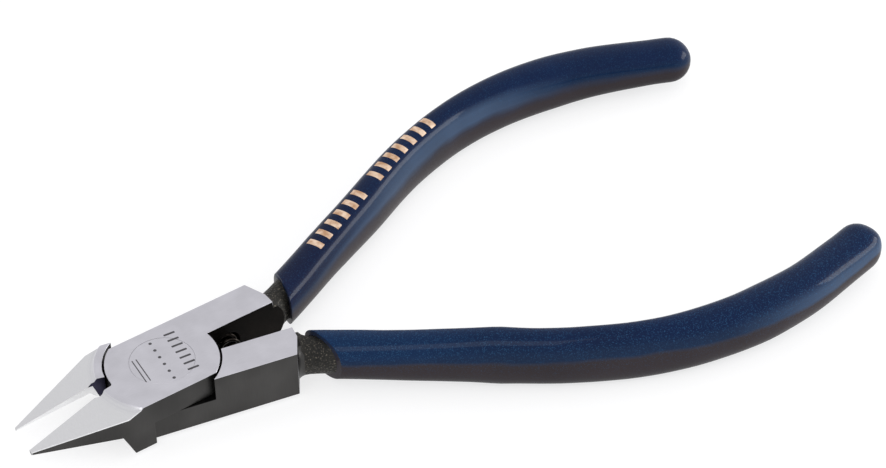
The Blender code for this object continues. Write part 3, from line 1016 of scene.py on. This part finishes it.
@dataclass
class JointMarks:
    """Plain etched bars and dots on the joint's upper face."""

    finish: bpy.types.Material
    proud: float = 0.006 * MM
    sunk: float = 0.010 * MM
    bar_row: float = 3.15 * MM
    bars: int = 7
    bar_size: tuple[float, float] = (1.70 * MM, 0.36 * MM)
    bar_pitch: float = 1.30 * MM
    dot_row: float = 0.0
    dots: int = 6
    dot_radius: float = 0.24 * MM
    dot_pitch: float = 1.55 * MM
    rule_row: float = -3.35 * MM
    rule_size: tuple[float, float] = (0.16 * MM, 4.80 * MM)
    rule_gap: float = 0.62 * MM

    def build(self) -> bpy.types.Object:
        """Etch the marks on the upper lap.

        Returns:
            The piece.
        """
        bm = bmesh.new()
        for index in range(self.bars):
            self.bar(bm, self.bar_row, (index - (self.bars - 1) / 2) * self.bar_pitch + 0.5 * MM, self.bar_size)
        for index in range(self.dots):
            self.dot(bm, self.dot_row, (index - (self.dots - 1) / 2) * self.dot_pitch)
        for offset in (-self.rule_gap / 2, self.rule_gap / 2):
            self.bar(bm, self.rule_row + offset, -0.4 * MM, self.rule_size)
        bmesh.ops.recalc_face_normals(bm, faces=bm.faces)
        piece = new_piece("joint_marks", bm, [self.finish], smooth=False)
        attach(piece, Side.UPPER.body)
        return piece

    def place(self, x: float, y: float) -> Matrix:
        """The place of a mark that is centred there on the joint's upper face."""
        return Matrix.Translation((x, y, HEAD_THICKNESS + (self.proud - self.sunk) / 2))

    def bar(self, bm: bmesh.types.BMesh, x: float, y: float, size: tuple[float, float]) -> None:
        """Add a bar.

        Args:
            bm: the marks.
            x: its middle.
            y: its middle.
            size: its length along X and along Y.
        """
        made = bmesh.ops.create_cube(bm, size=1.0)["verts"]
        bmesh.ops.scale(bm, verts=made, vec=(*size, self.proud + self.sunk))
        upright = [edge for edge in dict.fromkeys(edge for vert in made for edge in vert.link_edges)
                   if abs(edge.verts[0].co.z - edge.verts[1].co.z) > self.proud]
        rounded = bmesh.ops.bevel(bm, geom=upright, offset=min(size) * 0.3, offset_type="OFFSET", segments=3,
                                  profile=0.5, affect="EDGES", clamp_overlap=True, material=-1)
        loose = {vert for face in rounded["faces"] for vert in face.verts}
        shape = loose | {vert for vert in made if vert.is_valid}
        bmesh.ops.transform(bm, verts=list(shape), matrix=self.place(x, y))

    def dot(self, bm: bmesh.types.BMesh, x: float, y: float) -> None:
        """Add a dot.

        Args:
            bm: the marks.
            x: its middle.
            y: its middle.
        """
        bmesh.ops.create_cone(bm, cap_ends=True, segments=20, radius1=self.dot_radius, radius2=self.dot_radius,
                              depth=self.proud + self.sunk, matrix=self.place(x, y))


@dataclass
class FoilStamp:
    """A row of plain foil bars stamped along a grip's crown."""

    grip: Grip
    finish: bpy.types.Material
    start: float = 12.9 * MM
    end: float = 43.6 * MM
    bars: int = 14
    skipped: tuple[int, ...] = (6,)
    length: float = 1.05 * MM
    reach: float = 1.22 * MM
    aside: float = -0.10 * MM
    proud: float = 0.022 * MM
    sunk: float = 0.06 * MM
    cuts: int = 12

    def build(self) -> bpy.types.Object:
        """Stamp the bars.

        Returns:
            The piece.
        """
        bm = bmesh.new()
        pitch = (self.end - self.start) / (self.bars - 1)
        for index in range(self.bars):
            if index not in self.skipped:
                self.bar(bm, self.start + index * pitch)
        bmesh.ops.recalc_face_normals(bm, faces=bm.faces)
        bmesh.ops.transform(bm, verts=bm.verts, matrix=self.grip.side.opened)
        piece = new_piece(f"{self.grip.side.body}_foil_stamp", bm, [self.finish], smooth=False)
        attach(piece, self.grip.side.body)
        return piece

    def bar(self, bm: bmesh.types.BMesh, distance: float) -> None:
        """Add one bar, bent over the crown.

        Args:
            bm: the stamp.
            distance: its middle along the handle.
        """
        made = bmesh.ops.create_grid(bm, x_segments=self.cuts, y_segments=3, size=0.5)["verts"]
        faces = list(dict.fromkeys(face for vert in made for face in vert.link_faces))
        grown = bmesh.ops.solidify(bm, geom=faces, thickness=1.0)
        shape = {vert for item in [*faces, *grown["geom"]] if isinstance(item, bmesh.types.BMFace)
                 for vert in item.verts}
        for vert in shape:
            section = self.grip.line.frame(distance + vert.co.y * self.length)
            above = section @ Vector((self.aside + vert.co.x * 2 * self.reach, HEAD_THICKNESS, 0.0))
            hit, outwards, _, _ = self.grip.surface.ray_cast(above, Vector((0.0, 0.0, -1.0)))
            vert.co = hit + outwards * (self.proud if vert.co.z > -0.5 else -self.sunk)


@dataclass
class Studio:
    """A pale floor, soft lamps and the camera."""

    floor_size: float = 6.0
    daylight: float = 0.92
    target: tuple[float, float, float] = (50.51 * MM, 11.16 * MM, 0.0)
    distance: float = 439.55 * MM
    azimuth: float = -28.571
    elevation: float = 41.403
    roll: float = -1.101
    focal_share: float = 2969.7 / 886.0

    def build(self) -> None:
        """Set the studio up."""
        self.lay_floor()
        self.hang_lamps()
        self.place_camera()
        bpy.context.scene.view_settings.view_transform = "Standard"

    def lay_floor(self) -> None:
        """Lay the floor under the grips."""
        bm = bmesh.new()
        bmesh.ops.create_grid(bm, x_segments=4, y_segments=4, size=self.floor_size / 2)
        bmesh.ops.translate(bm, verts=bm.verts, vec=(0.0, 0.0, FLOOR_HEIGHT))
        new_piece("floor", bm, [PaleFloor().material()], smooth=False)

    def hang_lamps(self) -> None:
        """Light the scene evenly, with two broad soft lamps for shape."""
        world = bpy.data.worlds.new("studio")
        world.use_nodes = True
        sky = world.node_tree.nodes["Background"]
        sky.inputs["Color"].default_value = (0.985, 0.985, 1.0, 1.0)
        sky.inputs["Strength"].default_value = self.daylight
        bpy.context.scene.world = world
        self.lamp("key", (-0.35, -0.40, 0.70), 1.5, (0.50, 0.50))
        self.lamp("right", (0.75, -0.22, 0.17), 3.2, (0.55, 0.26))

    def lamp(self, name: str, place: tuple[float, float, float], power: float, size: tuple[float, float]) -> None:
        """Hang one soft rectangular lamp that faces the tool's middle.

        Args:
            name: the lamp's name.
            place: where it hangs.
            power: its power in watts.
            size: its sides.
        """
        data = bpy.data.lights.new(name, "AREA")
        data.shape = "RECTANGLE"
        data.size, data.size_y = size
        data.energy = power
        obj = bpy.data.objects.new(name, data)
        obj.location = place
        obj.rotation_euler = (Vector(self.target) - Vector(place)).to_track_quat("-Z", "Y").to_euler()
        bpy.context.scene.collection.objects.link(obj)

    def place_camera(self) -> None:
        """Stand the camera before and above the tool, level but for a slight roll."""
        azimuth, elevation, roll = map(math.radians, (self.azimuth, self.elevation, self.roll))
        ahead = Vector((-math.sin(azimuth) * math.cos(elevation), math.cos(azimuth) * math.cos(elevation),
                        -math.sin(elevation)))
        right = Vector((math.cos(azimuth), math.sin(azimuth), 0.0))
        up = right.cross(ahead)
        x_axis = right * math.cos(roll) + up * math.sin(roll)
        y_axis = up * math.cos(roll) - right * math.sin(roll)
        turn = Matrix((x_axis, y_axis, -ahead)).transposed().to_4x4()
        data = bpy.data.cameras.new("camera")
        data.sensor_width = 36.0
        data.lens = self.focal_share * data.sensor_width
        data.clip_start = 0.01
        obj = bpy.data.objects.new("camera", data)
        obj.matrix_world = Matrix.Translation(Vector(self.target) - ahead * self.distance) @ turn
        bpy.context.scene.collection.objects.link(obj)
        bpy.context.scene.camera = obj


def forging_finishes() -> dict[Zone, bpy.types.Material]:
    """The finish of each zone of the forgings, with painted shade on some."""
    return {
        Zone.TOP: GroundSteel().material(),
        Zone.FACET: FacetSteel().material(),
        # Painted shade: the head's sides are coloured dark.
        Zone.FLANK: FlankSteel().material(),
        Zone.EDGE: GroundSteel("honed_edge", colour=(0.94, 0.94, 0.95)).material(),
        # Painted shade: near-black inner walls between the rear blocks.
        Zone.INNER: PaintedShadeSteel("inner_wall", (0.0030, 0.0022, 0.0016), (0.0085, 0.0062, 0.0048)).material(),
        # Painted shade: the lap shelves beside the joint.
        Zone.SHELF: PaintedShadeSteel("lap_shelf", (0.010, 0.010, 0.010), (0.022, 0.021, 0.020)).material(),
        # Painted shade, with a faint painted navy reflection, on the wall deep in the throat.
        Zone.THROAT: PaintedShadeSteel("throat_wall", (0.024, 0.023, 0.042), (0.042, 0.040, 0.068), (0.3, 0.4)).material(),
        Zone.TANG: BlackOxide().material(),
        Zone.UNDERSIDE: GroundSteel("ground_underside", colour=(0.50, 0.495, 0.52)).material(),
    }


def main() -> None:
    """Build every piece, then the studio."""
    logging.basicConfig(level=logging.INFO, format="%(message)s")
    finishes = forging_finishes()
    for side in Side:
        Forging(side, finishes).build()
    Rivet(GroundSteel("rivet_steel", scratch_turn=0.6).material()).build()
    ReturnSpring(SpringWire().material()).build()
    # Far grip: softer painted reflections, painted highlight nearer the mouth, painted shade on the crown by the
    # mouth.
    soft = GlitterVinyl("soft_vinyl", shoulder_highlight_rise=(0.026, 0.046), shoulder_highlight_fall=(0.066, 0.082), flank_ends=0.48,
                        shoulder_starts=0.60, flake_share=0.22, mouth_tint=(0.0030, 0.0060, 0.0280))
    far = Grip(Side.UPPER, soft.material(), mouth=22.42 * MM, slant=0.21)
    near = Grip(Side.LOWER, GlitterVinyl().material(), mouth=22.00 * MM, slant=0.35, swell=0.16 * MM)
    far.build()
    near.build()
    JointMarks(EtchedMark().material()).build()
    FoilStamp(far, GoldFoil().material()).build()
    Studio().build()


if __name__ == "__main__":
    main()
